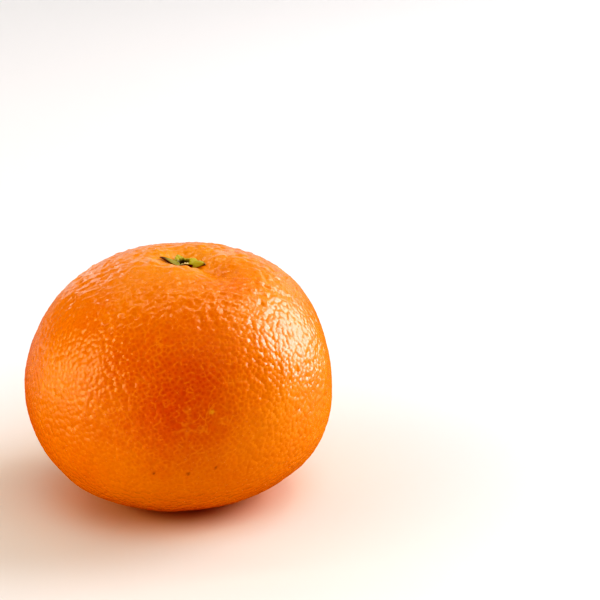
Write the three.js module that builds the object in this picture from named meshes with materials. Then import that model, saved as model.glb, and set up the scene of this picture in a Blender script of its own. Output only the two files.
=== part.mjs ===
// A whole fresh mandarin, picked with its calyx on: the oblate fruit, the green five-pointed calyx
// in the dip of its crown, and the torn stump of the stalk in the middle of the calyx.
// Millimetres, +Z up. The origin lies on the resting surface, under the middle of the fruit.
// Azimuths are degrees from +X towards +Y, and latitudes are degrees above the belt.
import * as THREE from "three";

// The fruit's own form: two half superellipses of revolution that meet at the belt
const beltRadius = 32.5;
const crownReach = 29.7; // belt to crown, before the crown is sunk
const crownPower = 2.29; // above 2, so that the crown is flatter than an ellipse
const baseReach = 23.7; // belt to the point of the base, before the foot is flattened
const basePower = 2.39;
const lean = 0.029; // sideways run of the core for each unit of height

// The dip that holds the calyx, and the furrows that run out of it
const dipDepth = 3.6;
const dipRadius = 4.1;
const dipOffset = 0.5; // the dip lies this far to the right of the core
const furrowRadius = 8.5; // where the furrows are deepest, from the middle of the dip
const furrowLength = 5;
const furrows = [
  { azimuth: -28, depth: 1.4, spread: 34 },
  { azimuth: 32, depth: 0.3, spread: 15 },
  { azimuth: 112, depth: 0.4, spread: 18 },
  { azimuth: 178, depth: 0.35, spread: 16 },
  { azimuth: 242, depth: 0.2, spread: 14 },
];

// The flat foot that the fruit rests on, with the small blossom-end scar in its middle
const footRadius = 8;
const scarRadius = 3;
const scarDepth = 0.6;

// Low swells and hollows of the skin, each with the angle that it spreads over
const swells = [
  { azimuth: 0, latitude: -18, spread: 24, height: 0.4 },
  { azimuth: 0, latitude: 25, spread: 22, height: -0.5 },
  { azimuth: 0, latitude: 50, spread: 20, height: 0.55 },
  { azimuth: 180, latitude: 2, spread: 16, height: 0.85 },
  { azimuth: 180, latitude: -30, spread: 22, height: -1.25 },
  { azimuth: 70, latitude: 18, spread: 26, height: 0.6 },
  { azimuth: 120, latitude: -18, spread: 24, height: -0.5 },
  { azimuth: 245, latitude: 32, spread: 20, height: 0.3 },
  { azimuth: 300, latitude: -5, spread: 24, height: -0.3 },
];
const settleHeight = 7; // below this the swells fade out, so the foot stays flat

// The calyx: a thick disc drawn out into five sepals, with a collar round the pit of the stalk
const sepals = [
  { azimuth: -92, reach: 3.9 },
  { azimuth: -18, reach: 4.75 },
  { azimuth: 50, reach: 3.75 },
  { azimuth: 115, reach: 3.7 },
  { azimuth: 187, reach: 4.8 },
];
const notchReach = 2.35;
const sepalTaper = 1.25;
const bladeThickness = 0.7;
const ribThickness = 0.45;
const pitRadius = 1.1;
const collarRadius = 1.55;
const collarFoot = 2.1;
const collarWidth = 0.55;
const collarHeight = 0.5;
const calyxClearance = 0.3; // between the calyx and the skin under it

// The stump of the stalk, torn off just above the calyx
const stumpRadius = 0.8;
const stumpRim = 0.65; // where the torn edge stands highest
const stumpHollow = 0.35;
const stumpHeight = 1.25;
const stumpClearance = 0.3; // between the stump and the floor of the pit
const tornHeight = 0.25;
const tornPeaks = 3;

// How finely each surface is divided
const fruitSegments = 64;
const crownRings = 9;
const crownEdge = 10; // rings are closer together inside this radius
const wallRings = 27;
const scarRings = 3;
const calyxSegments = 10 * sepals.length;
const bladeRings = 4;
const stumpSegments = 20;

const rindColour = 0xee7a0c;
const calyxColour = 0x93a128;
const stumpColour = 0xcfc58a;

const radians = THREE.MathUtils.degToRad;
const { lerp, smoothstep } = THREE.MathUtils;
const bell = (distance, width) => Math.exp(-((distance / width) ** 2));
const steps = (count) => Array.from({ length: count + 1 }, (_, i) => i / count);

// How far two directions are apart, either way round
const turnBetween = (a, b) => Math.abs(Math.atan2(Math.sin(a - b), Math.cos(a - b)));

// Superellipse: how far above or below the belt the skin lies, at a distance from the core
const reachAt = (distance, reach, power) =>
  reach * (1 - (distance / beltRadius) ** power) ** (1 / power);

const beltHeight = reachAt(footRadius, baseReach, basePower);
const baseAt = (distance) => beltHeight - reachAt(distance, baseReach, basePower);
const crownAt = (distance) => beltHeight + reachAt(distance, crownReach, crownPower);

// How deep the crown is sunk at a place by its dip and by the furrows that fan out from it
function sunkAt(x, y) {
  const distance = Math.hypot(x - dipOffset, y);
  const azimuth = Math.atan2(y, x - dipOffset);
  const across = ({ azimuth: middle, depth, spread }) =>
    depth * bell(turnBetween(azimuth, radians(middle)), radians(spread));
  const furrow = furrows.reduce((sum, each) => sum + across(each), 0);
  return dipDepth * bell(distance, dipRadius) + furrow * bell(distance - furrowRadius, furrowLength);
}

// The direction of each swell, seen from the middle of the belt
const swellLobes = swells.map(({ azimuth, latitude, spread, height }) => {
  const level = new THREE.Vector3(Math.cos(radians(azimuth)), Math.sin(radians(azimuth)), 0);
  const direction = level.multiplyScalar(Math.cos(radians(latitude))).setZ(Math.sin(radians(latitude)));
  return { direction, spread: radians(spread), height };
});

function swellAt(outward) {
  const rise = ({ direction, spread, height }) => height * bell(outward.angleTo(direction), spread);
  return swellLobes.reduce((sum, lobe) => sum + rise(lobe), 0);
}

// The core of the fruit leans, and everything on the fruit leans with it
const onCore = (x, y, z) => new THREE.Vector3(x + lean * z, y, z);

// Turns a profile of (distance from the axis, height) points about +Z, then moves each point where
// `shape(distance, azimuth, height)` says
function turned(profile, segments, shape) {
  const geometry = new THREE.LatheGeometry(profile, segments).rotateX(Math.PI / 2);
  const points = geometry.getAttribute("position");
  const point = new THREE.Vector3();
  for (let i = 0; i < points.count; i++) {
    point.fromBufferAttribute(points, i);
    const moved = shape(Math.hypot(point.x, point.y), Math.atan2(point.y, point.x), point.z);
    points.setXYZ(i, moved.x, moved.y, moved.z);
  }
  geometry.computeVertexNormals();
  return geometry;
}

// From the middle of the scar, over the flat foot, up the wall and in over the crown
function fruitProfile() {
  const scar = steps(scarRings).map((share) => {
    const height = scarDepth * Math.cos((share * Math.PI) / 2) ** 2;
    return new THREE.Vector2(share * scarRadius, height);
  });
  // The wall's rings are evenly spaced in the superellipse's own angle, down from the crown
  const angleAt = (distance, power) => Math.asin((distance / beltRadius) ** (power / 2));
  const low = Math.PI - angleAt(footRadius, basePower);
  const high = angleAt(crownEdge, crownPower);
  const wall = steps(wallRings).map((share) => {
    const angle = lerp(low, high, share);
    const below = angle > Math.PI / 2;
    const distance = beltRadius * Math.sin(angle) ** (2 / (below ? basePower : crownPower));
    return new THREE.Vector2(distance, below ? baseAt(distance) : crownAt(distance));
  });
  const crown = steps(crownRings).slice(1).map((share) => {
    const distance = crownEdge * (1 - share);
    return new THREE.Vector2(distance, crownAt(distance));
  });
  return [...scar, ...wall, ...crown];
}

// The skin: the turned profile with its swells, sunk at the crown
function fruitPoint(distance, azimuth, height) {
  const point = new THREE.Vector3(distance * Math.cos(azimuth), distance * Math.sin(azimuth), height);
  const outward = point.clone().setZ(height - beltHeight).normalize();
  point.addScaledVector(outward, smoothstep(height, 0, settleHeight) * swellAt(outward));
  if (height > beltHeight) point.z -= sunkAt(point.x, point.y);
  return onCore(point.x, point.y, point.z);
}

// The plate's even turn is shared out among the sepals: which way a place then points, and how far the
// calyx reaches there
function sepalAt(azimuth) {
  const count = sepals.length;
  const place = THREE.MathUtils.euclideanModulo((azimuth / Math.PI / 2 + 0.25) * count, count);
  const before = sepals[Math.floor(place) % count];
  const after = sepals[(Math.floor(place) + 1) % count];
  const share = place % 1;
  const gap = THREE.MathUtils.euclideanModulo(after.azimuth - before.azimuth, 360);
  const { reach } = share < 0.5 ? before : after;
  const offTip = 2 * Math.min(share, 1 - share);
  const edge = lerp(notchReach, reach, (1 - offTip) ** sepalTaper);
  return { bearing: radians(before.azimuth + share * gap), edge };
}

// A round plate, with height 0 for its underside and height 1 for its upper side
function calyxProfile() {
  const core = [0, pitRadius / 2, pitRadius, collarRadius];
  const blade = steps(bladeRings).map((share) => collarFoot + share);
  const radii = [...core, ...blade];
  const under = radii.map((radius) => new THREE.Vector2(radius, 0));
  const upper = radii.map((radius) => new THREE.Vector2(radius, 1));
  return [...under, ...upper.reverse()];
}

// The pit has a plain thin floor. Outside it each sepal is arched across, and the collar stands on top
function calyxThickness(distance, edge) {
  if (distance < (pitRadius + collarRadius) / 2) return bladeThickness;
  const arch = ribThickness * (1 - (distance / edge) ** 2);
  return bladeThickness + arch + collarHeight * bell(distance - collarRadius, collarWidth);
}

// The underside of the calyx keeps just clear of the skin
const calyxFloor = (x, y) => crownAt(Math.hypot(x, y)) - sunkAt(x, y) + calyxClearance;

// The rim of the plate, one unit wide outside the collar, is drawn out to the edge of the sepals
function calyxPoint(radius, azimuth, side) {
  const { bearing, edge } = sepalAt(azimuth);
  const distance = radius > collarFoot ? lerp(collarFoot, edge, radius - collarFoot) : radius;
  const x = dipOffset + distance * Math.cos(bearing);
  const y = distance * Math.sin(bearing);
  return onCore(x, y, calyxFloor(x, y) + side * calyxThickness(distance, edge));
}

function stumpProfile() {
  return [
    new THREE.Vector2(0, 0),
    new THREE.Vector2(stumpRadius, 0),
    new THREE.Vector2(stumpRadius, stumpHeight - tornHeight),
    new THREE.Vector2(stumpRim, stumpHeight),
    new THREE.Vector2(stumpHollow, stumpHeight - tornHeight),
    new THREE.Vector2(stumpHollow / 2, stumpHeight / 2),
    new THREE.Vector2(0, stumpHeight / 2),
  ];
}

// The stump stands in the pit of the calyx, and its torn rim rises and falls
function stumpPoint(distance, azimuth, height) {
  const foot = calyxFloor(dipOffset, 0) + bladeThickness + stumpClearance;
  const nearRim = smoothstep(height, stumpHeight / 2, stumpHeight);
  const torn = tornHeight * Math.sin(tornPeaks * azimuth) * nearRim;
  const x = dipOffset + distance * Math.cos(azimuth);
  const y = distance * Math.sin(azimuth);
  return onCore(x, y, foot + height + torn);
}

function named(name, geometry, color, roughness) {
  const mesh = new THREE.Mesh(geometry, new THREE.MeshStandardMaterial({ color, roughness, metalness: 0 }));
  mesh.name = name;
  return mesh;
}

const fruit = named("fruit", turned(fruitProfile(), fruitSegments, fruitPoint), rindColour, 0.4);
const calyx = named("calyx", turned(calyxProfile(), calyxSegments, calyxPoint), calyxColour, 0.6);
const stump = named("stalk_stump", turned(stumpProfile(), stumpSegments, stumpPoint), stumpColour, 0.8);

// The middle of the fruit's own box stands over the origin
const middle = new THREE.Box3().setFromBufferAttribute(fruit.geometry.getAttribute("position"))
  .getCenter(new THREE.Vector3());
const mandarin = new THREE.Group().add(fruit, calyx, stump);
mandarin.position.set(-middle.x, -middle.y, 0);

export default new THREE.Group().add(mandarin);
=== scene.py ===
import bpy
import numpy as np
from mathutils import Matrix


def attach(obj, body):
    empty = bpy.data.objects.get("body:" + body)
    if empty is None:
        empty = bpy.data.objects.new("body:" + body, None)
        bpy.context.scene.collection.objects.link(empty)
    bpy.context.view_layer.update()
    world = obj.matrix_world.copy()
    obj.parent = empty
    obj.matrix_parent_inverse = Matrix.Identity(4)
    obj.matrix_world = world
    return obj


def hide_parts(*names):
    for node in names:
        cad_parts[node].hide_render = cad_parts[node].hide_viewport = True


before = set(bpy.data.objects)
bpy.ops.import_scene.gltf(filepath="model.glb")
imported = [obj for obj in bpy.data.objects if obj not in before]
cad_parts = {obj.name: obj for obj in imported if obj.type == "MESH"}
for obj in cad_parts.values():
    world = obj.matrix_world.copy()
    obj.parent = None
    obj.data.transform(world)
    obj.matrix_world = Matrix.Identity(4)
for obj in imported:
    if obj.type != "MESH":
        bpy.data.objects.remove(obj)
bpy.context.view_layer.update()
print("packed mandarin loaded:", sorted(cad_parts))

# Lengths are millimetres until a mesh is made, and metres in the studio. Angles are degrees.
# Azimuths run from +X towards +Y, latitudes are above the belt.
millimetre = 0.001


# Bell curve: e to the minus square of the distance over the width
def bell(distance, width):
    return np.exp(-((distance / width) ** 2))


# Eases from 0 at low to 1 at high by a cubic
def smoothStep(value, low, high):
    share = np.clip((value - low) / (high - low), 0, 1)
    return share * share * (3 - 2 * share)


# Unit vectors that point along azimuths and latitudes
def heading(azimuth, latitude):
    turn = np.radians(azimuth)
    rise = np.radians(latitude)
    return np.stack([np.cos(turn) * np.cos(rise), np.sin(turn) * np.cos(rise), np.sin(rise)], -1)


# Vectors divided by their length
def unit(vectors):
    return vectors / np.linalg.norm(vectors, axis=-1, keepdims=True)


# Sum of sines round a turn, each with its height, how many times it goes round and its start
def roundWaves(turn, waves):
    return sum(height * np.sin(times * turn + start) for height, times, start in waves)


# sRGB hex to linear, by the sRGB curve
def linear(hexColour):
    channels = np.array([int(hexColour[i:i + 2], 16) for i in (1, 3, 5)]) / 255
    curve = np.where(channels < 0.04045, channels / 12.92, ((channels + 0.055) / 1.055) ** 2.4)
    return (*curve, 1.0)


# Adds a node; an input given as another node's socket is linked, any other value is set.
# An input is named, with _ for a space, or numbered as i0, i1 and so on.
def addNode(tree, kind, settings=(), **inputs):
    node = tree.nodes.new(kind)
    for name, value in dict(settings).items():
        setattr(node, name, value)
    for name, value in inputs.items():
        socket = node.inputs[int(name[1:]) if name[1:].isdigit() else name.replace("_", " ")]
        if isinstance(value, bpy.types.NodeSocket):
            tree.links.new(value, socket)
        else:
            socket.default_value = value
    return node


# Settings that many nodes share
smoothRange = {"interpolation_type": "SMOOTHSTEP"}
mixColour = {"data_type": "RGBA"}
multiply = {"operation": "MULTIPLY"}
multiplyAdd = {"operation": "MULTIPLY_ADD"}


def newMaterial(name):
    material = bpy.data.materials.new(name)
    material.use_nodes = True
    material.node_tree.nodes.clear()
    return material, material.node_tree


# A mesh in metres from points in millimetres, smooth shaded. An attribute holds a number or a vector
# for each point, or for each face if there are as many values as faces.
def makePiece(name, points, faces, attributes):
    mesh = bpy.data.meshes.new(name)
    mesh.from_pydata(points * millimetre, [], faces)
    mesh.polygons.foreach_set("use_smooth", np.ones(len(faces), bool))
    for label, values in attributes.items():
        kind, key = ("FLOAT_VECTOR", "vector") if values.ndim == 2 else ("FLOAT", "value")
        domain = "FACE" if len(values) == len(faces) else "POINT"
        layer = mesh.attributes.new(label, kind, domain)
        layer.data.foreach_set(key, values.astype(np.float32).ravel())
    mesh.update()
    piece = bpy.data.objects.new(name, mesh)
    bpy.context.scene.collection.objects.link(piece)
    print(name, "has", len(points), "points and", len(mesh.loops) - 2 * len(faces), "triangles")
    return piece


# Quads of a grid that is closed round its second side, with a fan to one point at each end.
# Points come ring by ring, the first pole before them and the last pole after them.
def turnedFaces(rings, turns):
    place = 1 + np.arange(rings * turns).reshape(rings, turns)
    beside = np.roll(place, -1, axis=1)
    quads = np.stack([place[:-1], beside[:-1], beside[1:], place[1:]], -1).reshape(-1, 4)
    lastPole = np.full(turns, rings * turns + 1)
    firstFan = np.stack([np.zeros(turns, int), beside[0], place[0]], -1)
    lastFan = np.stack([place[-1], beside[-1], lastPole], -1)
    return quads.tolist() + firstFan.tolist() + lastFan.tolist()


# The fruit's own form
fruitForm = {
    "beltRadius": 32.5,
    "crownReach": 29.7, "crownPower": 2.29,
    "baseReach": 23.7, "basePower": 2.39,
    "lean": 0.029,
    "dipDepth": 3.6, "dipRadius": 4.1, "dipOffset": 0.5,
    "furrowRadius": 8.5, "furrowLength": 5,
    # azimuth, depth, spread
    "furrows": [(-42, 2.5, 24), (-78, 0.35, 16), (32, 0.3, 15),
                (112, 0.4, 18), (178, 0.35, 16), (242, 0.2, 14)],
    "footRadius": 8, "scarRadius": 3, "scarDepth": 0.6,
    # azimuth, latitude, spread, height
    "swells": [(0, -18, 24, 0.4), (0, 25, 22, -0.5), (0, 50, 20, 0.55),
               (180, 2, 16, 0.85), (180, -30, 22, -1.25), (70, 18, 26, 0.6),
               (120, -18, 24, -0.5), (245, 32, 20, 0.3), (300, -5, 24, -0.3)],
    "settleHeight": 7,  # the swells fade out below this
    "cells": 128,  # lattice cells along a cube edge
}


# Superellipse: how far above or below the belt the skin lies, at a distance from the core
def reachAt(distance, side):
    power = fruitForm[side + "Power"]
    share = np.clip(distance / fruitForm["beltRadius"], 0, 1)
    return fruitForm[side + "Reach"] * (1 - share ** power) ** (1 / power)


beltHeight = reachAt(fruitForm["footRadius"], "base")


# Depth of the crown: a bell for the dip, and bells across and along each furrow that fans out from it
def sunkAt(x, y):
    across = x - fruitForm["dipOffset"]
    distance = np.hypot(across, y)
    azimuth, depth, spread = np.array(fruitForm["furrows"], float).T
    turn = np.arctan2(y, across)[..., None] - np.radians(azimuth)
    turn = np.degrees(np.arctan2(np.sin(turn), np.cos(turn)))
    furrow = (depth * bell(turn, spread)).sum(-1)
    dip = fruitForm["dipDepth"] * bell(distance, fruitForm["dipRadius"])
    return dip + furrow * bell(distance - fruitForm["furrowRadius"], fruitForm["furrowLength"])


# Two half superellipses turned about the core meet at the belt. Bells over the angle raise the swells,
# the crown is sunk, the base is cut flat at the foot with a round dimple in it, and the core leans.
def skinOf(outward):
    above = outward[:, 2] > 0
    power = np.where(above, fruitForm["crownPower"], fruitForm["basePower"])
    reach = np.where(above, fruitForm["crownReach"], fruitForm["baseReach"])
    level = np.hypot(outward[:, 0], outward[:, 1]) / fruitForm["beltRadius"]
    radius = (level ** power + (np.abs(outward[:, 2]) / reach) ** power) ** (-1 / power)
    azimuth, latitude, spread, height = np.array(fruitForm["swells"], float).T
    angle = np.degrees(np.arccos(np.clip(outward @ heading(azimuth, latitude).T, -1, 1)))
    swell = (height * bell(angle, spread)).sum(1)
    settle = smoothStep(beltHeight + radius * outward[:, 2], 0, fruitForm["settleHeight"])
    x, y, z = ((radius + settle * swell)[:, None] * outward).T
    z = beltHeight + z - np.where(above, sunkAt(x, y), 0)
    scarShare = np.clip(np.hypot(x, y) / fruitForm["scarRadius"], 0, 1)
    scar = fruitForm["scarDepth"] * np.cos(scarShare * np.pi / 2) ** 2
    z = np.where(above, z, np.maximum(z, scar))
    return np.stack([x + fruitForm["lean"] * z, y, z], -1)


# The surface of a cube as a lattice: the ticks of its points along each edge, and outward quads
def cubeLattice(cells):
    tick = np.arange(cells + 1)
    along, up = np.meshgrid(tick, tick, indexing="ij")
    sheets = []
    for axis in range(3):
        for side in (0, cells):
            sheet = np.stack([np.full_like(along, side), along, up], -1)
            sheet = np.roll(sheet, axis, axis=-1)
            sheets.append(sheet if side else sheet.swapaxes(0, 1))
    sheets = np.array(sheets)
    code = sheets @ ((cells + 1) ** np.arange(3))
    unique, place = np.unique(code, return_inverse=True)
    place = place.reshape(code.shape)
    ticks = unique[:, None] // (cells + 1) ** np.arange(3) % (cells + 1)
    corners = [place[:, :-1, :-1], place[:, 1:, :-1], place[:, 1:, 1:], place[:, :-1, 1:]]
    return ticks, np.stack(corners, -1).reshape(-1, 4)


# Outward unit normals of the skin, from the cross product of two short steps along it
def skinNormals(outward):
    short = 0.004
    nearPole = np.abs(outward[:, 2:]) > 0.9
    aside = unit(np.cross(outward, np.where(nearPole, [1.0, 0, 0], [0, 0, 1.0])))
    upward = np.cross(outward, aside)
    stepA = skinOf(unit(outward + short * aside)) - skinOf(unit(outward - short * aside))
    stepB = skinOf(unit(outward + short * upward)) - skinOf(unit(outward - short * upward))
    normals = unit(np.cross(stepA, stepB))
    return normals * np.sign((normals * outward).sum(1))[:, None]


# The pores and creases of the peel
rindRelief = {
    "glandSpacing": 1.08, "glandRadius": 0.44, "glandUneven": 0.22, "glandShift": 0.22,
    # the skin over each gland swells into a low dome, whose flank goes on to domeEnd times its radius
    "domeRadius": 0.6, "domeEnd": 1.1, "domePower": 2.2, "domeHeight": 0.062,
    # shortest and longest wave, how many, and a wave's height for each mm of its length
    "longWaves": (4, 18, 40, 0.0012), "shortWaves": (1.2, 3.0, 60, 0.0015),
    # relief grows from its least share between these distances from the middle of the dip
    "smoothNear": (1.5, 5), "leastShare": 0.25,
    "footHeight": 1.5,  # waves fade out below this
    # between these latitudes domes become flatter and waves higher
    "crown": (30, 52), "crownDomes": 0.7, "crownWaves": 4.6,
    "creaseHash": (12.9898, 78.233, 43758.5453), "creasePower": 3,
    "seed": 11,
}
# Marks on the peel: azimuth, latitude, radius
peelMarks = {
    "paleMarks": [(-75.5, 11.2, 0.36), (28, 38, 0.7), (139, -8, 0.6)],
    "darkMarks": [(-96.5, -11.7, 0.24), (-83.9, -12.2, 0.3), (-73.8, -10.4, 0.2),
                  (62, 12, 0.35), (118, 30, 0.3), (196, -15, 0.4), (20, -22, 0.3)],
    # deeper orange: the first, facing the camera, and the two in the furrow right of the calyx are
    # painted shade; the others are the peel's deeper tone. Azimuth, latitude, spread, strength
    "shadeAndFlushes": [(-88, 21, 29, 1), (-130, 42, 14, 0.3), (55, 20, 40, 1),
                (165, -10, 36, 1), (-47, 60, 10, 0.3), (-30, 74, 7, 0.4)],
    "calyxPale": 0.7, "calyxPaleReach": 9,  # the peel is paler round the calyx
    "scarBrownReach": 1.5,
}
random = np.random.default_rng(rindRelief["seed"])


# Ways to seeds spread evenly over the skin: a golden-angle spiral, each shifted by a random share
# of the spacing. Evenly packed seeds have a hexagon each, of 0.866 times the spacing squared.
def scatterSeeds(spacing, shift):
    meanRadius = 30
    hexagonShare = 0.866
    goldenAngle = 137.50776
    count = int(4 * np.pi * meanRadius ** 2 / (hexagonShare * spacing ** 2))
    rank = np.arange(count) + 0.5
    rise = np.degrees(np.arcsin(1 - 2 * rank / count))
    outward = heading(rank * goldenAngle, rise)
    return unit(outward + random.normal(0, shift * spacing / meanRadius, outward.shape))


# For each point the two nearest seeds and the distance to the first, slice by slice up the fruit:
# a slice looks only at the seeds that are no further than reach above or below it
def nearestSeeds(points, seeds, slices=80, reach=5):
    first, second = np.zeros((2, len(points)), int)
    gap = np.zeros(len(points))
    for part in np.array_split(np.argsort(points[:, 2]), slices):
        low, high = points[part[[0, -1]], 2]
        near = np.flatnonzero((seeds[:, 2] > low - reach) & (seeds[:, 2] < high + reach))
        squares = (points[part] ** 2).sum(1)[:, None] + (seeds[near] ** 2).sum(1)
        squares = squares - 2 * points[part] @ seeds[near].T
        rows = np.arange(len(part))
        nearest = squares.argmin(1)
        first[part] = near[nearest]
        gap[part] = np.sqrt(squares[rows, nearest].clip(0))
        squares[rows, nearest] = np.inf
        second[part] = near[squares.argmin(1)]
    return first, second, gap


# Sum of sine waves that cross the fruit in random directions, as a function of the points
def drawWaves(shortest, longest, count, steep):
    lengths = random.uniform(shortest, longest, count)
    ways = unit(random.normal(size=(count, 3))) / lengths[:, None]
    starts = random.uniform(0, 2 * np.pi, count)
    return lambda points: np.sin(2 * np.pi * points @ ways.T + starts) @ (steep * lengths)


longWaves = drawWaves(*rindRelief["longWaves"])
shortWaves = drawWaves(*rindRelief["shortWaves"])


# How far domes and short waves show: less near the middle of the dip, other shares on the crown,
# and no waves on the foot
def poresAt(points, outward):
    across = points[:, 0] - fruitForm["lean"] * points[:, 2] - fruitForm["dipOffset"]
    fromDip = np.where(outward[:, 2] > 0, np.hypot(across, points[:, 1]), np.inf)
    onFoot = 1 - smoothStep(points[:, 2], 0, rindRelief["footHeight"])
    least = rindRelief["leastShare"]
    shown = least + (1 - least) * smoothStep(fromDip, *rindRelief["smoothNear"])
    onCrown = smoothStep(outward[:, 2], *np.sin(np.radians(rindRelief["crown"])))
    domeShare = shown * (1 + onCrown * (rindRelief["crownDomes"] - 1))
    waveShare = (1 - onFoot) * shown * (1 + onCrown * (rindRelief["crownWaves"] - 1))
    return fromDip, onFoot, domeShare, waveShare


# Bells over the distance to each mark's middle
def markShare(points, marks):
    azimuth, latitude, radius = np.array(marks, float).T
    middles = skinOf(heading(azimuth, latitude))
    gaps = np.linalg.norm(points[:, None] - middles, axis=-1)
    return bell(gaps, radius).sum(1).clip(0, 1)


# Bells over the angle to the middle of each patch of painted shade and deeper tone
def shadeAndFlushShare(outward):
    azimuth, latitude, spread, strength = np.array(peelMarks["shadeAndFlushes"], float).T
    angle = np.degrees(np.arccos(np.clip(outward @ heading(azimuth, latitude).T, -1, 1)))
    return (strength * bell(angle, spread)).sum(1).clip(0, 1)


# A crease is strong or faint, by a hash of the two glands that it lies between
def creaseStrength(one, other):
    byLow, byHigh, scale = rindRelief["creaseHash"]
    scatter = np.sin(np.minimum(one, other) * byLow + np.maximum(one, other) * byHigh)
    return np.mod(scatter * scale, 1) ** rindRelief["creasePower"]


# Even angles along the cube's edges keep the cells close to one size
ticks, fruitQuads = cubeLattice(fruitForm["cells"])
outward = unit(np.tan((ticks / fruitForm["cells"] - 0.5) * np.pi / 2))
skin = skinOf(outward)
normals = skinNormals(outward)
centring = np.array([*(skin.min(0) + skin.max(0))[:2] / 2, 0])

glandWays = scatterSeeds(rindRelief["glandSpacing"], rindRelief["glandShift"])
glandSeeds = skinOf(glandWays)
glandRadius = rindRelief["glandRadius"] * random.lognormal(0, rindRelief["glandUneven"], len(glandWays))

# A power of the distance to the nearest gland makes round domes that meet in valleys
fromDip, onFoot, poreShare, waveShare = poresAt(skin, outward)
glandGap = nearestSeeds(skin, glandSeeds)[2]
domePart = np.minimum(glandGap / rindRelief["domeRadius"], rindRelief["domeEnd"])
dome = -rindRelief["domeHeight"] * domePart ** rindRelief["domePower"]
relief = (1 - onFoot) * longWaves(skin) + waveShare * shortWaves(skin) + poreShare * dome
fruitPoints = skin + normals * relief[:, None] - centring
fromScar = np.hypot(skin[:, 0], skin[:, 1])
scarBrown = np.where(outward[:, 2] < 0, bell(fromScar, peelMarks["scarBrownReach"]), 0)

# Each face knows its gland's middle and the crease to the next gland, so both are drawn sharper
# than the mesh
faceGland, faceNext = nearestSeeds(skin[fruitQuads].mean(1), glandSeeds)[:2]
glandFoot, glandWave = poresAt(glandSeeds, glandWays)[1::2]
glandLift = (1 - glandFoot) * longWaves(glandSeeds) + glandWave * shortWaves(glandSeeds)
glandMiddles = glandSeeds + skinNormals(glandWays) * glandLift[:, None] - centring
creaseMiddles = (glandSeeds[faceGland] + glandSeeds[faceNext]) / 2 - centring

fruit = makePiece("fruitPeel", fruitPoints, fruitQuads, {
    "glandMiddle": glandMiddles[faceGland] * millimetre,
    "glandRadius": glandRadius[faceGland] * millimetre,
    "creaseMiddle": creaseMiddles * millimetre,
    "creaseAcross": unit(glandSeeds[faceGland] - glandSeeds[faceNext]),
    "creaseStrength": creaseStrength(faceGland, faceNext),
    "poreShare": poreShare,
    "shadeAndFlush": shadeAndFlushShare(outward),
    "nearCalyx": peelMarks["calyxPale"] * bell(fromDip, peelMarks["calyxPaleReach"]),
    "paleMark": markShare(skin, peelMarks["paleMarks"]),
    "darkMark": markShare(skin, peelMarks["darkMarks"]),
    "scar": scarBrown,
})

# The calyx: a thick disc drawn out into five puffy sepals, with a torn collar round the stalk's pit
calyxForm = {
    # azimuth, reach, lift off the skin, thickness, how pointed, how dried, reach of the notch after it
    "sepals": [(-62, 4.3, 0.6, 0.5, 0.3, 1.0, 2.0), (-26, 5.2, 0.05, 1.2, 0.7, 0.15, 2.9),
               (38, 3.2, 0.1, 1.1, 0.3, 0.05, 2.2), (115, 3.7, 0.4, 1.0, 0.6, 0.1, 2.4),
               (187, 5.2, 0.3, 1.2, 0.5, 0.65, 2.5)],
    "bluntPower": 1.3, "sharpPower": 1.6,
    "sectionPowers": (1.4, 0.75), "edgeThinning": 0.4, "thinningRun": 0.6,
    "pitShift": (-0.1, 0.45), "pitRadius": 0.95, "pitSlope": 0.7, "pitFloor": 0.2,
    "pitShade": (-0.3, 0.1),  # the painted shade in the pit fades out here, from the collar's radius
    "collarRadius": 1.4, "collarFoot": 2.1, "collarWidth": 0.35, "collarHeight": 0.2,
    "collarWaves": [(0.5, 7, 1), (0.4, 16, 0)],
    "clearance": 0.06,
    "veins": 5, "veinHeight": 0.05, "veinsFrom": (1.8, 2.6),
    "driedFrom": (0.85, 0.65), "driedTo": (1, 0.4),  # share of the blade, less this for a dried sepal
    "coreStart": 0.15, "coreRings": 12, "bladeRings": 26, "ringPower": 0.8, "turns": 320,
}


# Height of the skin under the calyx, above the floor and before the core leans
def crownAt(x, y):
    return beltHeight + reachAt(np.hypot(x, y), "crown") - sunkAt(x, y)


# Leans a place with the core, by a share of its height, and centres it as the fruit is
def placeOnCore(x, y, z):
    return np.stack([x + fruitForm["lean"] * z, y, z], -1) - centring


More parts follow.
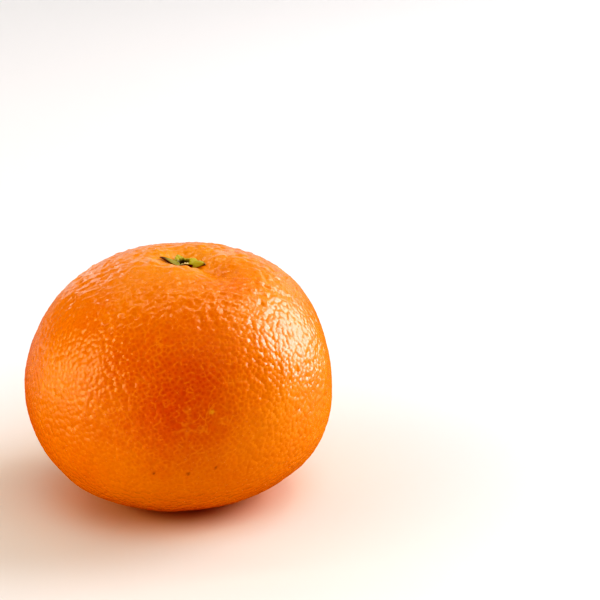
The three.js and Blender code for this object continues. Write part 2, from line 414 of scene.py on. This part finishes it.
# A disc's even turn is shared out among the sepals. The edge runs from notch to tip by a cosine for
# a blunt sepal and by a power for a pointed one; the section swells from a thin edge as a half circle
# does, with lengthwise veins; thickness, lift and dryness pass smoothly from each sepal to the next.
def calyxSurface():
    form = calyxForm
    count = len(form["sepals"])
    share = np.arange(form["turns"]) / form["turns"] * count
    before = np.floor(share).astype(int)
    part = share - before
    azimuth, reach, lift, thick, pointed, dry, notch = np.array(form["sepals"], float).T
    gap = np.mod(np.roll(azimuth, -1) - azimuth, 360)
    bearing = np.radians(azimuth[before] + part * gap[before])
    owner = np.where(part < 0.5, before, before + 1) % count
    offTip = np.where(part < 0.5, part, part - 1)  # -0.5 to 0.5 across a sepal
    blunt = np.cos(np.pi * offTip) ** form["bluntPower"]
    sharp = (1 - 2 * np.abs(offTip)) ** form["sharpPower"]
    toTip = blunt + pointed[owner] * (sharp - blunt)
    edge = notch[before] + (reach[owner] - notch[before]) * toTip
    onward = smoothStep(part, 0, 1)
    lift, thick, dry = (value[before] + onward * (np.roll(value, -1)[before] - value[before])
                        for value in (lift, thick, dry))

    # From the middle of the underside out to the edge, and over the top back to the middle
    foot = form["collarFoot"]
    core = np.linspace(form["coreStart"], 1, form["coreRings"]) * foot
    blade = np.linspace(0, 1, form["bladeRings"]) ** form["ringPower"]
    inner = np.concatenate([core, np.full(form["bladeRings"], foot)])
    bladeShare = np.concatenate([np.zeros(form["coreRings"]), blade])
    distance = inner[:, None] + bladeShare[:, None] * (edge - foot)
    distance = np.concatenate([distance, distance[-2::-1]])
    bladeShare = np.concatenate([bladeShare, bladeShare[-2::-1]])[:, None]
    onTop = (np.arange(len(distance)) >= len(inner))[:, None]

    x = fruitForm["dipOffset"] + distance * np.cos(bearing)
    y = distance * np.sin(bearing)
    fromPit = np.hypot(x - fruitForm["dipOffset"] - form["pitShift"][0], y - form["pitShift"][1])
    alongPower, roundPower = form["sectionPowers"]
    swelling = np.clip(1 - bladeShare ** alongPower, 0, 1) ** roundPower
    outOfCollar = smoothStep(distance, form["collarRadius"], foot + form["thinningRun"])
    thinned = 1 - form["edgeThinning"] * (2 * np.abs(offTip)) ** 2 * outOfCollar
    stripes = np.broadcast_to(np.cos(2 * np.pi * form["veins"] * offTip), distance.shape)
    vein = form["veinHeight"] * stripes * swelling * smoothStep(distance, *form["veinsFrom"])
    ragged = 1 + roundWaves(bearing, form["collarWaves"])
    collar = form["collarHeight"] * ragged * bell(fromPit - form["collarRadius"], form["collarWidth"])
    rim = smoothStep(fromPit, form["pitRadius"] * form["pitSlope"], form["collarRadius"])
    sunk = form["pitFloor"] + (1 - form["pitFloor"]) * rim
    top = thick * swelling * thinned * sunk + collar * rim + vein
    z = crownAt(x, y) + form["clearance"] + lift * bladeShare ** 2 + onTop * top
    points = placeOnCore(x, y, z)

    driedFrom, driedTo = (start - less * dry for start, less in (form["driedFrom"], form["driedTo"]))
    shadeFrom, shadeTo = form["collarRadius"] + np.array(form["pitShade"])
    fields = {
        "dried": smoothStep(bladeShare * np.sqrt(toTip), driedFrom, driedTo),
        "vein": 0.5 + 0.5 * stripes,
        "shade": np.broadcast_to(dry, distance.shape),
        # painted shade in the stalk's pit
        "pit": 1 - smoothStep(fromPit, shadeFrom, shadeTo),
    }
    fields = {name: np.concatenate([[values[0].mean()], values.ravel(), [values[-1].mean()]])
              for name, values in fields.items()}
    poles = points[[0, -1]].mean(1)
    faces = turnedFaces(len(points), form["turns"])
    return np.concatenate([poles[:1], points.reshape(-1, 3), poles[1:]]), faces, fields


calyx = makePiece("calyxStar", *calyxSurface())

# The stump of the stalk, torn off just above the calyx
stumpForm = {
    "radius": 0.8, "height": 1.15, "footShare": 0.5, "seat": 0.2,
    "hollowRadius": 0.42, "hollowDepth": 0.7, "hollowTaper": 0.5,
    "shift": (0.2, -0.95),
    "rimHeight": 0.12, "tornHeight": 0.18, "tornFrom": 0.25,
    "tornWaves": [(1, 3, 0), (0.6, 5, 1.3), (0.35, 11, 0.4)],
    "slant": 0.35, "slantTo": -60,  # the torn rim stands higher on this side
    "fibres": 23, "fibreHeight": 0.07,
    "sideRings": 14, "rimRings": 7, "turns": 120,
}


# A profile that goes up the side, over the rim and down into the hollow, turned about the stalk. The
# rim rises and falls as a sum of sines round the stalk, and fibres ripple the wall lengthwise.
def stumpSurface():
    form = stumpForm
    turn = np.arange(form["turns"]) / form["turns"] * 2 * np.pi
    rise = np.linspace(0, 1, form["sideRings"])
    side = np.stack([np.full(form["sideRings"], form["radius"]), rise * form["height"]], -1)
    bend = np.linspace(0, np.pi, form["rimRings"] + 2)[1:-1]
    rimHalf = (form["radius"] - form["hollowRadius"]) / 2
    rim = np.stack([form["radius"] - rimHalf + rimHalf * np.cos(bend),
                    form["height"] + form["rimHeight"] * np.sin(bend)], -1)
    inner = np.stack([form["hollowRadius"] * (1 - form["hollowTaper"] * rise),
                      form["height"] - rise * form["hollowDepth"]], -1)
    profile = np.concatenate([[[form["radius"] * form["footShare"], 0]], side, rim, inner])
    distance, height = profile.T[:, :, None]
    nearRim = smoothStep(height, form["tornFrom"] * form["height"], form["height"])
    torn = form["tornHeight"] * roundWaves(turn, form["tornWaves"])
    slant = form["slant"] * np.cos(turn - np.radians(form["slantTo"]))
    ripple = np.cos(form["fibres"] * turn)
    fibre = form["fibreHeight"] * ripple * nearRim
    lifted = height + nearRim * (torn + slant)
    wide = distance + fibre * np.sign(distance - form["radius"] + rimHalf)
    foot = crownAt(fruitForm["dipOffset"], 0) + calyxForm["clearance"] + form["seat"]
    x = fruitForm["dipOffset"] + form["shift"][0] + wide * np.cos(turn)
    y = form["shift"][1] + wide * np.sin(turn)
    points = placeOnCore(x, y, foot + lifted)
    # the wall down into the hollow gets painted shade
    hollow = np.concatenate([np.zeros(len(profile) - form["sideRings"]), rise])
    fibreShare = np.tile(0.5 + 0.5 * ripple, len(profile))
    poles = points[[0, -1]].mean(1)
    fields = {"hollow": np.concatenate([[0], np.repeat(hollow, form["turns"]), [1]]),
              "fibre": np.concatenate([[0], fibreShare, [0]])}
    faces = turnedFaces(len(profile), form["turns"])
    return np.concatenate([poles[:1], points.reshape(-1, 3), poles[1:]]), faces, fields


stump = makePiece("stalkStump", *stumpSurface())

# Fresh citrus peel: waxy and satin, with dark dots of oil glands in a lighter net, and domes that
# break the gloss into flecks
peelLook = {
    # the deeper orange is the peel's deeper tone, and also painted shade on the front facing the camera
    # and in the furrow
    "rind": "#F58A06", "rindDeepAndShade": "#DE5602", "gland": "#CC4502", "crease": "#FC9020",
    "nearCalyx": "#F8A024", "paleMark": "#F2AC34", "darkMark": "#6B2A08", "scar": "#7A5A2E",
    "noiseSpan": (0.3, 0.7),  # most of a noise lies between these
    "patchSize": 16, "patchShare": 0.35, "shadeAndFlushShare": 0.8,
    "dotEdge": 1.3,  # a dot fades out at this many radii of its gland
    "glandShare": (0.06, 0.6),  # how much the dots show on plain rind and where painted shade and deeper tone lie
    "creaseShare": 0.5,
    "domeHeight": 0.05, "lineHeight": 0.008, "lineWidth": 0.34,
    # creases that wander past many glands, and the span of a coarser noise where they come into view
    "longLineSize": 5, "longLineWidth": 0.04, "longLinePatch": 9, "longLineShown": (0.47, 0.62),
    "grainSize": 0.4, "grainDepth": 0.012,
    "roughness": (0.17, 0.28), "ior": 1.46, "specular": 0.74, "specularTint": "#FFF4F0",
    "subsurface": 0.12, "subsurfaceDepth": 0.8,
    "subsurfaceReach": (1.0, 0.45, 0.12),  # red light goes deepest
}


def peelMaterial():
    look = peelLook
    material, tree = newMaterial("waxyCitrusPeel")
    place = addNode(tree, "ShaderNodeTexCoord").outputs["Object"]
    field = {}
    for name in ("glandMiddle", "creaseMiddle", "creaseAcross"):
        field[name] = addNode(tree, "ShaderNodeAttribute", {"attribute_name": name}).outputs["Vector"]
    for name in ("glandRadius", "creaseStrength", "poreShare", "shadeAndFlush", "nearCalyx", "paleMark",
                 "darkMark", "scar"):
        field[name] = addNode(tree, "ShaderNodeAttribute", {"attribute_name": name}).outputs["Fac"]

    # Distance to the gland's middle as a share of its radius; dots show most where painted shade and
    # deeper tone lie
    fromGland = addNode(tree, "ShaderNodeVectorMath", {"operation": "DISTANCE"}, i0=place,
                        i1=field["glandMiddle"]).outputs["Value"]
    glandPart = addNode(tree, "ShaderNodeMath", {"operation": "DIVIDE"}, i0=fromGland,
                        i1=field["glandRadius"]).outputs[0]
    dot = addNode(tree, "ShaderNodeMapRange", smoothRange, Value=glandPart, From_Min=0.0,
                  From_Max=look["dotEdge"], To_Min=1.0, To_Max=0.0).outputs[0]
    dot = addNode(tree, "ShaderNodeMath", multiply, i0=dot, i1=field["poreShare"]).outputs[0]
    dotShare = addNode(tree, "ShaderNodeMapRange", Value=field["shadeAndFlush"], To_Min=look["glandShare"][0],
                       To_Max=look["glandShare"][1]).outputs[0]
    dot = addNode(tree, "ShaderNodeMath", multiply, i0=dot, i1=dotShare).outputs[0]

    # Distance across the crease's line
    fromLine = addNode(tree, "ShaderNodeVectorMath", {"operation": "SUBTRACT"}, i0=place,
                       i1=field["creaseMiddle"]).outputs[0]
    fromLine = addNode(tree, "ShaderNodeVectorMath", {"operation": "DOT_PRODUCT"}, i0=fromLine,
                       i1=field["creaseAcross"]).outputs["Value"]
    fromLine = addNode(tree, "ShaderNodeMath", {"operation": "ABSOLUTE"}, i0=fromLine).outputs[0]
    line = addNode(tree, "ShaderNodeMapRange", smoothRange, Value=fromLine, From_Min=0.0,
                   From_Max=look["lineWidth"] * millimetre, To_Min=1.0, To_Max=0.0).outputs[0]
    line = addNode(tree, "ShaderNodeMath", multiply, i0=line, i1=field["creaseStrength"]).outputs[0]

    # Longer creases: contours of a noise at its middle value, broken by a coarser one
    wander = addNode(tree, "ShaderNodeTexNoise", Vector=place, Detail=2.0, Roughness=0.5,
                     Scale=1 / (look["longLineSize"] * millimetre), Distortion=0.5).outputs["Fac"]
    wander = addNode(tree, "ShaderNodeMath", {"operation": "SUBTRACT"}, i0=wander, i1=0.5).outputs[0]
    wander = addNode(tree, "ShaderNodeMath", {"operation": "ABSOLUTE"}, i0=wander).outputs[0]
    wander = addNode(tree, "ShaderNodeMapRange", smoothRange, Value=wander, From_Min=0.0,
                     From_Max=look["longLineWidth"], To_Min=1.0, To_Max=0.0).outputs[0]
    shown = addNode(tree, "ShaderNodeTexNoise", Vector=place, Detail=2.0, Roughness=0.5,
                    Scale=1 / (look["longLinePatch"] * millimetre)).outputs["Fac"]
    shown = addNode(tree, "ShaderNodeMapRange", smoothRange, Value=shown,
                    From_Min=look["longLineShown"][0], From_Max=look["longLineShown"][1]).outputs[0]
    wander = addNode(tree, "ShaderNodeMath", multiply, i0=wander, i1=shown).outputs[0]
    line = addNode(tree, "ShaderNodeMath", {"operation": "MAXIMUM"}, i0=line, i1=wander).outputs[0]
    lineShare = addNode(tree, "ShaderNodeMath", multiply, i0=line, i1=look["creaseShare"]).outputs[0]

    # Colour: random patches of deeper tone together with the painted shade on the front and in the
    # furrow, then the calyx's surround, the lines, the dots and the marks
    patch = addNode(tree, "ShaderNodeTexNoise", Vector=place, Detail=3.0, Roughness=0.55,
                    Scale=1 / (look["patchSize"] * millimetre)).outputs["Fac"]
    patch = addNode(tree, "ShaderNodeMapRange", Value=patch, From_Min=look["noiseSpan"][0],
                    From_Max=look["noiseSpan"][1], To_Min=0.0, To_Max=look["patchShare"]).outputs[0]
    # random patches of deeper tone plus the painted shade on the front and in the furrow
    deep = addNode(tree, "ShaderNodeMath", {**multiplyAdd, "use_clamp": True}, i0=field["shadeAndFlush"],
                   i1=look["shadeAndFlushShare"], i2=patch).outputs[0]
    colour = addNode(tree, "ShaderNodeMix", mixColour, i0=deep, i6=linear(look["rind"]),
                     i7=linear(look["rindDeepAndShade"])).outputs[2]
    for share, shade in ((field["nearCalyx"], "nearCalyx"), (lineShare, "crease"), (dot, "gland"),
                         (field["paleMark"], "paleMark"), (field["darkMark"], "darkMark"),
                         (field["scar"], "scar")):
        colour = addNode(tree, "ShaderNodeMix", mixColour, i0=share, i6=colour,
                         i7=linear(look[shade])).outputs[2]

    # Relief in millimetres: domes sharper than the mesh draws them, lines and a fine grain
    domePart = addNode(tree, "ShaderNodeMath", {"operation": "DIVIDE"}, i0=fromGland,
                       i1=rindRelief["domeRadius"] * millimetre).outputs[0]
    domePart = addNode(tree, "ShaderNodeMath", {"operation": "POWER"}, i0=domePart,
                       i1=rindRelief["domePower"]).outputs[0]
    grain = addNode(tree, "ShaderNodeTexNoise", Vector=place, Detail=2.0, Roughness=0.6,
                    Scale=1 / (look["grainSize"] * millimetre)).outputs["Fac"]
    height = addNode(tree, "ShaderNodeMath", multiply, i0=domePart, i1=-look["domeHeight"]).outputs[0]
    height = addNode(tree, "ShaderNodeMath", multiplyAdd, i0=line, i1=look["lineHeight"],
                     i2=height).outputs[0]
    height = addNode(tree, "ShaderNodeMath", multiply, i0=height, i1=field["poreShare"]).outputs[0]
    height = addNode(tree, "ShaderNodeMath", multiplyAdd, i0=grain, i1=look["grainDepth"],
                     i2=height).outputs[0]
    bump = addNode(tree, "ShaderNodeBump", Strength=1.0, Distance=millimetre, Height=height)
    gloss = addNode(tree, "ShaderNodeMapRange", Value=grain, From_Min=look["noiseSpan"][0],
                    From_Max=look["noiseSpan"][1], To_Min=look["roughness"][0],
                    To_Max=look["roughness"][1]).outputs[0]
    shader = addNode(tree, "ShaderNodeBsdfPrincipled", Base_Color=colour, Roughness=gloss,
                     IOR=look["ior"], Normal=bump.outputs["Normal"],
                     Specular_IOR_Level=look["specular"], Specular_Tint=linear(look["specularTint"]),
                     Subsurface_Weight=look["subsurface"], Subsurface_Radius=look["subsurfaceReach"],
                     Subsurface_Scale=look["subsurfaceDepth"] * millimetre)
    addNode(tree, "ShaderNodeOutputMaterial", Surface=shader.outputs["BSDF"])
    return material


# Green sepals drying at their tips: matte leathery skin, pale veins, brown where it has dried, and
# painted shade in the pit round the stalk
calyxLook = {
    "leaf": "#CCBA2A", "leafDark": "#A69C1C", "vein": "#D2C45C", "shade": "#5C5A1C",
    # the pit colour is painted shade in the stalk's pit
    "dried": "#54280A", "pit": "#2A1500",
    "strengths": {"vein": 0.4, "shade": 0.9, "dried": 0.95, "pit": 0.95},
    "patchSize": 1.2, "grainSize": 0.22, "grainDepth": 0.02, "grainStrength": 0.7,
    "roughness": 0.45, "ior": 1.42,
}


def calyxMaterial():
    look = calyxLook
    material, tree = newMaterial("freshSepalLeaf")
    place = addNode(tree, "ShaderNodeTexCoord").outputs["Object"]
    patch = addNode(tree, "ShaderNodeTexNoise", Vector=place, Detail=3.0, Roughness=0.6,
                    Scale=1 / (look["patchSize"] * millimetre)).outputs["Fac"]
    colour = addNode(tree, "ShaderNodeMix", mixColour, i0=patch, i6=linear(look["leaf"]),
                     i7=linear(look["leafDark"])).outputs[2]
    for label, strength in look["strengths"].items():
        field = addNode(tree, "ShaderNodeAttribute", {"attribute_name": label}).outputs["Fac"]
        share = addNode(tree, "ShaderNodeMath", multiply, i0=field, i1=strength).outputs[0]
        colour = addNode(tree, "ShaderNodeMix", mixColour, i0=share, i6=colour,
                         i7=linear(look[label])).outputs[2]
    grain = addNode(tree, "ShaderNodeTexNoise", Vector=place, Detail=2.0,
                    Scale=1 / (look["grainSize"] * millimetre)).outputs["Fac"]
    bump = addNode(tree, "ShaderNodeBump", Strength=look["grainStrength"],
                   Distance=look["grainDepth"] * millimetre, Height=grain)
    shader = addNode(tree, "ShaderNodeBsdfPrincipled", Base_Color=colour, Roughness=look["roughness"],
                     IOR=look["ior"], Normal=bump.outputs["Normal"])
    addNode(tree, "ShaderNodeOutputMaterial", Surface=shader.outputs["BSDF"])
    return material


# Torn green wood: pale straw fibres, with painted shade down the hollow where the pith has shrunk away
stumpLook = {
    # the hollow colour is painted shade inside the stalk
    "fibrePale": "#FFF2C0", "fibreDark": "#F2D488", "hollow": "#2A1500",
    "grainSize": 0.15, "grainDepth": 0.02, "grainStrength": 0.8,
    "roughness": 0.75,
}


def stumpMaterial():
    look = stumpLook
    material, tree = newMaterial("tornStalkWood")
    place = addNode(tree, "ShaderNodeTexCoord").outputs["Object"]
    fibre = addNode(tree, "ShaderNodeAttribute", {"attribute_name": "fibre"}).outputs["Fac"]
    hollow = addNode(tree, "ShaderNodeAttribute", {"attribute_name": "hollow"}).outputs["Fac"]
    colour = addNode(tree, "ShaderNodeMix", mixColour, i0=fibre, i6=linear(look["fibrePale"]),
                     i7=linear(look["fibreDark"])).outputs[2]
    colour = addNode(tree, "ShaderNodeMix", mixColour, i0=hollow, i6=colour,
                     i7=linear(look["hollow"])).outputs[2]
    grain = addNode(tree, "ShaderNodeTexNoise", Vector=place,
                    Scale=1 / (look["grainSize"] * millimetre)).outputs["Fac"]
    bump = addNode(tree, "ShaderNodeBump", Strength=look["grainStrength"],
                   Distance=look["grainDepth"] * millimetre, Height=grain)
    shader = addNode(tree, "ShaderNodeBsdfPrincipled", Base_Color=colour, Roughness=look["roughness"],
                     Normal=bump.outputs["Normal"])
    addNode(tree, "ShaderNodeOutputMaterial", Surface=shader.outputs["BSDF"])
    return material


for piece, material, node, slot in ((fruit, peelMaterial(), "fruit", "rind"),
                                    (calyx, calyxMaterial(), "calyx", "calyx"),
                                    (stump, stumpMaterial(), "stalk_stump", "stalk")):
    piece.data.materials.append(material)
    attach(piece, "root")
    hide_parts(node)
print("peel, sepal and stalk materials made")

# Studio, in metres: a pale sweep, a softbox low on the right and a small panel above it, narrow strips
# behind and overhead, and a warm panel on the left
studio = {
    "floorRadius": 1.6, "floorRings": 23, "floorTurns": 96, "floorRoughness": 0.6,
    # the sweep's paper, a painted shadow on it near the fruit warmed by the fruit's bounce light, and a
    # painted contact shadow with painted orange bounce light where fruit and floor meet
    "floorColour": "#F3F5F6",
    "nearColour": "#E7DED1", "nearReach": (0.022, 0.11),
    "contactColour": "#E0B48E", "contactReach": (0.012, 0.034),
    # gloss sees the floor brown to the right of these X and pale to the left of them
    "floorInGloss": "#6A3A1A", "glossEdge": (-0.22, -0.06),
    # azimuth, elevation, distance, width, height, brightness, colour
    "softboxes": {
        "rightSoftbox": (22, 19, 0.70, 0.42, 0.50, 7.4, "#FFF4FF"),
        "rightSide": (0, 21, 0.70, 0.24, 0.46, 1.3, "#FFF4F4"),
        "haloPanel": (-2, 46, 0.80, 0.60, 0.36, 0.15, "#FFFFFF"),
        "upperPanel": (30, 57, 0.80, 0.20, 0.12, 8.0, "#FFF4E8"),
        "backStrip": (82, 28, 0.80, 1.10, 0.03, 2.2, "#FFEEDC"),
        "middleStrip": (88, 47, 0.80, 1.10, 0.03, 2.8, "#FFEEDC"),
        "overheadStrip": (105, 68, 0.80, 1.20, 0.05, 9.6, "#FFEEDC"),
        "backWall": (86, 9, 1.00, 1.00, 0.32, 0.9, "#FFFFFF"),
        "leftPanel": (-166, 16, 0.60, 0.30, 0.34, 4.6, "#FFDCA8"),
        "leftBackPost": (116, 16, 0.80, 0.03, 0.40, 6.0, "#FFFFFF"),
    },
    # fills leave no highlight
    "fills": {
        "frontFill": (-55, 50, 0.90, 0.90, 0.60, 2.2, "#FFFFFF"),
        "leftFill": (-162, 18, 0.90, 0.80, 0.50, 2.5, "#FFFFFF"),
        "rightFill": (36, 22, 0.90, 0.60, 0.60, 2.5, "#FFFFFF"),
        "topFill": (-90, 84, 0.90, 0.80, 0.60, 0.15, "#FFFFFF"),
    },
    "aimHeight": 0.023,
    "tentColour": "#FFFFFF", "tentBright": (0.04, 0.05),  # at the floor and overhead
    "glossBright": 0.08,  # the tent as gloss sees it: the highlights come from the softboxes
    # the film's response between black and white: a toe that deepens dark tones, as a camera does
    "toe": [(0.02, 0.002), (0.05, 0.018), (0.1, 0.065), (0.3, 0.28), (0.7, 0.72)],
    # the lens and the sensor are in millimetres
    "cameraPlace": (0.025933, -0.419272, 0.186991), "cameraPitch": 19, "cameraLens": 126,
    "sensorWidth": 36,
}


# An area light aimed at the fruit; its power is its brightness times pi times its area
def addSoftbox(name, inGloss, azimuth, elevation, distance, width, height, bright, colour):
    lamp = bpy.data.lights.new(name, "AREA")
    lamp.shape = "RECTANGLE"
    lamp.size = width
    lamp.size_y = height
    lamp.energy = bright * np.pi * width * height
    lamp.color = linear(colour)[:3]
    holder = bpy.data.objects.new(name, lamp)
    holder.location = heading(azimuth, elevation) * distance + [0, 0, studio["aimHeight"]]
    holder.rotation_euler = (np.radians(90 - elevation), 0, np.radians(azimuth + 90))
    holder.visible_camera = False
    holder.visible_glossy = inGloss
    bpy.context.scene.collection.objects.link(holder)


for name, values in studio["softboxes"].items():
    addSoftbox(name, True, *values)
for name, values in studio["fills"].items():
    addSoftbox(name, False, *values)


# A disc of rings that lie closer towards the middle, by a square, and reach past every view
def sweepSurface():
    rings = studio["floorRings"]
    turns = studio["floorTurns"]
    turn = np.arange(turns) / turns * 2 * np.pi
    reach = np.linspace(0, 1, rings + 1)[1:, None] ** 2 * studio["floorRadius"] / millimetre
    points = np.stack([reach * np.cos(turn), reach * np.sin(turn), np.zeros((rings, turns))], -1)
    points = np.concatenate([np.zeros((1, 3)), points.reshape(-1, 3)])
    faces = turnedFaces(rings, turns)[:-turns]  # without the fan to a last pole
    return points, [face[::-1] for face in faces]


# Matte white paper: even and pale, with a painted shadow round the fruit and a painted contact shadow
# under it, both warmed by painted orange bounce light
def sweepMaterial():
    material, tree = newMaterial("whitePaperSweep")
    place = addNode(tree, "ShaderNodeTexCoord").outputs["Object"]
    reach = addNode(tree, "ShaderNodeVectorMath", {"operation": "LENGTH"}, i0=place).outputs["Value"]
    colour = linear(studio["floorColour"])
    # first the painted shadow near the fruit, then the painted contact shadow with its orange bounce
    # light
    for shade in ("near", "contact"):
        low, high = studio[shade + "Reach"]
        beyond = addNode(tree, "ShaderNodeMapRange", smoothRange, Value=reach, From_Min=low,
                         From_Max=high).outputs[0]
        colour = addNode(tree, "ShaderNodeMix", mixColour, i0=beyond,
                         i6=linear(studio[shade + "Colour"]), i7=colour).outputs[2]
    side = addNode(tree, "ShaderNodeSeparateXYZ", Vector=place).outputs["X"]
    side = addNode(tree, "ShaderNodeMapRange", smoothRange, Value=side, From_Min=studio["glossEdge"][0],
                   From_Max=studio["glossEdge"][1]).outputs[0]
    inGloss = addNode(tree, "ShaderNodeLightPath").outputs["Is Glossy Ray"]
    inGloss = addNode(tree, "ShaderNodeMath", multiply, i0=inGloss, i1=side).outputs[0]
    colour = addNode(tree, "ShaderNodeMix", mixColour, i0=inGloss, i6=colour,
                     i7=linear(studio["floorInGloss"])).outputs[2]
    shader = addNode(tree, "ShaderNodeBsdfPrincipled", Base_Color=colour,
                     Roughness=studio["floorRoughness"])
    addNode(tree, "ShaderNodeOutputMaterial", Surface=shader.outputs["BSDF"])
    return material


floor = makePiece("whiteSweep", *sweepSurface(), {})
floor.data.materials.append(sweepMaterial())

# A dim white tent, a little brighter overhead; gloss sees it evenly lit, and the camera sees white
world = bpy.data.worlds.new("studioWorld")
bpy.context.scene.world = world
world.use_nodes = True
worldTree = world.node_tree
worldTree.nodes.clear()
tentColour = linear(studio["tentColour"])
way = addNode(worldTree, "ShaderNodeTexCoord").outputs["Generated"]
rise = addNode(worldTree, "ShaderNodeSeparateXYZ", Vector=way).outputs["Z"]
tent = addNode(worldTree, "ShaderNodeMapRange", Value=rise, From_Min=0.0, From_Max=1.0,
               To_Min=studio["tentBright"][0], To_Max=studio["tentBright"][1]).outputs[0]
glow = addNode(worldTree, "ShaderNodeBackground", Color=tentColour, Strength=tent).outputs[0]
even = addNode(worldTree, "ShaderNodeBackground", Color=tentColour,
               Strength=studio["glossBright"]).outputs[0]
plain = addNode(worldTree, "ShaderNodeBackground", Color=tentColour, Strength=1.0).outputs[0]
ray = addNode(worldTree, "ShaderNodeLightPath").outputs
lit = addNode(worldTree, "ShaderNodeMixShader", i0=ray["Is Glossy Ray"], i1=glow, i2=even).outputs[0]
lit = addNode(worldTree, "ShaderNodeMixShader", i0=ray["Is Camera Ray"], i1=lit, i2=plain).outputs[0]
addNode(worldTree, "ShaderNodeOutputWorld", Surface=lit)

camera = bpy.data.objects.new("camera", bpy.data.cameras.new("camera"))
camera.data.lens = studio["cameraLens"]
camera.data.sensor_width = studio["sensorWidth"]
camera.location = studio["cameraPlace"]
camera.rotation_euler = (np.radians(90 - studio["cameraPitch"]), 0, 0)
bpy.context.scene.collection.objects.link(camera)
bpy.context.scene.camera = camera
film = bpy.context.scene.view_settings
film.view_transform = "Standard"
film.look = "None"
film.use_curve_mapping = True
toeCurve = film.curve_mapping.curves[3]  # the curve for all channels together
for point in studio["toe"]:
    toeCurve.points.new(*point)
film.curve_mapping.update()
print("studio and camera set")
